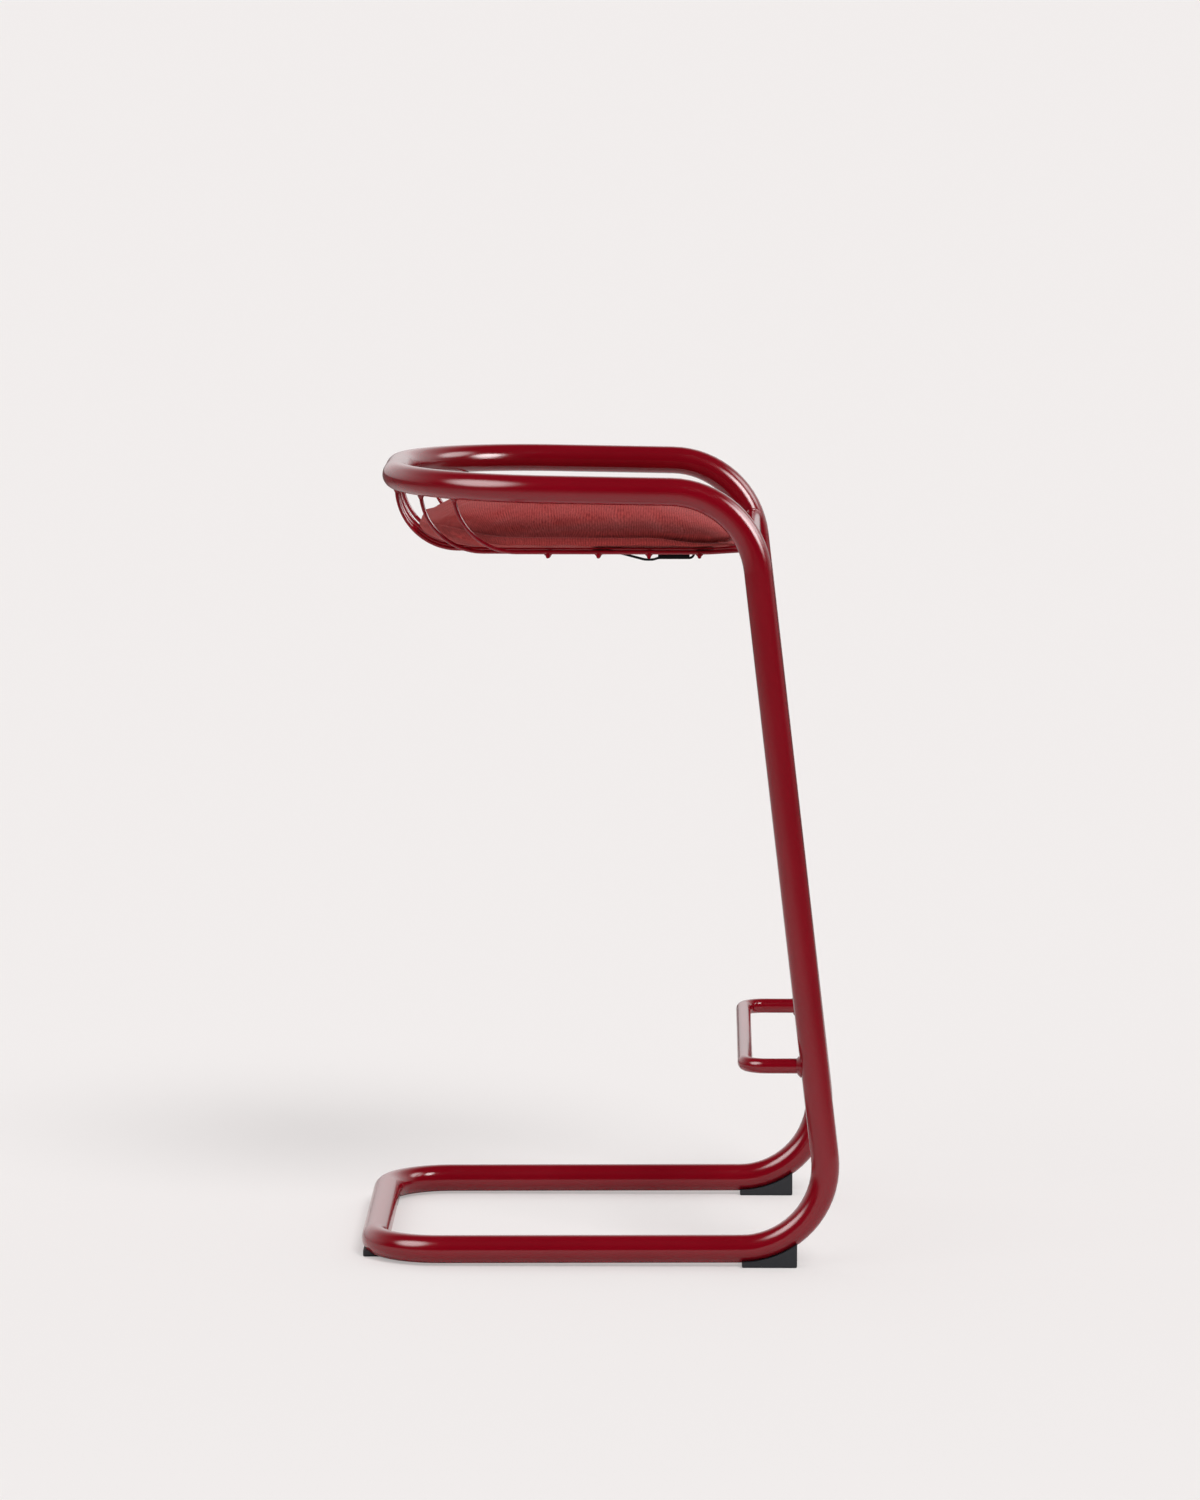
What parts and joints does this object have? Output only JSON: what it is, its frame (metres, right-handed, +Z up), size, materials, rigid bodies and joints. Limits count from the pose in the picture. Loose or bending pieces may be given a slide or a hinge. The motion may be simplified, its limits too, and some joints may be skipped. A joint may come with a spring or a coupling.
{
  "type": "bar stool",
  "caption": "Bent-tube bar stool with a sled base, low wrap-round back rail, dished wire seat, footrest bar, glides and a strapped fabric seat pad.",
  "frame": {"origin": "on the floor, midway between the front and the back and between the two sides", "axes": "+X is the way the sitter faces, +Y is to the sitter's left, +Z is up"},
  "size_m": [0.4792, 0.419, 0.7925],
  "materials": {
    "frame_paint": "satin wine-red powder coat on steel tube and wire",
    "bare_steel": "uncoated steel tube inside the frame",
    "glide_plastic": "moulded black plastic",
    "pad_fabric": "woven red outdoor fabric",
    "pad_foam": "open-cell foam",
    "strap_webbing": "black woven webbing"
  },
  "bodies": {
    "root": {"back_rail_sleeve": "bare_steel", "base_sleeve": "bare_steel", "cross_wire_1": "frame_paint", "cross_wire_2": "frame_paint", "cross_wire_3": "frame_paint", "cross_wire_4": "frame_paint", "footrest_tube": "frame_paint", "footrest_weld_left": "frame_paint", "footrest_weld_right": "frame_paint", "frame_tube_left": "frame_paint", "frame_tube_right": "frame_paint", "front_glide_left": "glide_plastic", "front_glide_right": "glide_plastic", "front_seat_bar": "frame_paint", "pad_cover": "pad_fabric", "pad_filling": "pad_foam", "pad_strap_left": "strap_webbing", "pad_strap_right": "strap_webbing", "rear_glide_left": "glide_plastic", "rear_glide_right": "glide_plastic", "seat_wire_left_1": "frame_paint", "seat_wire_left_2": "frame_paint", "seat_wire_left_3": "frame_paint", "seat_wire_left_4": "frame_paint", "seat_wire_right_1": "frame_paint", "seat_wire_right_2": "frame_paint", "seat_wire_right_3": "frame_paint", "seat_wire_right_4": "frame_paint"}
  },
  "joints": []
}
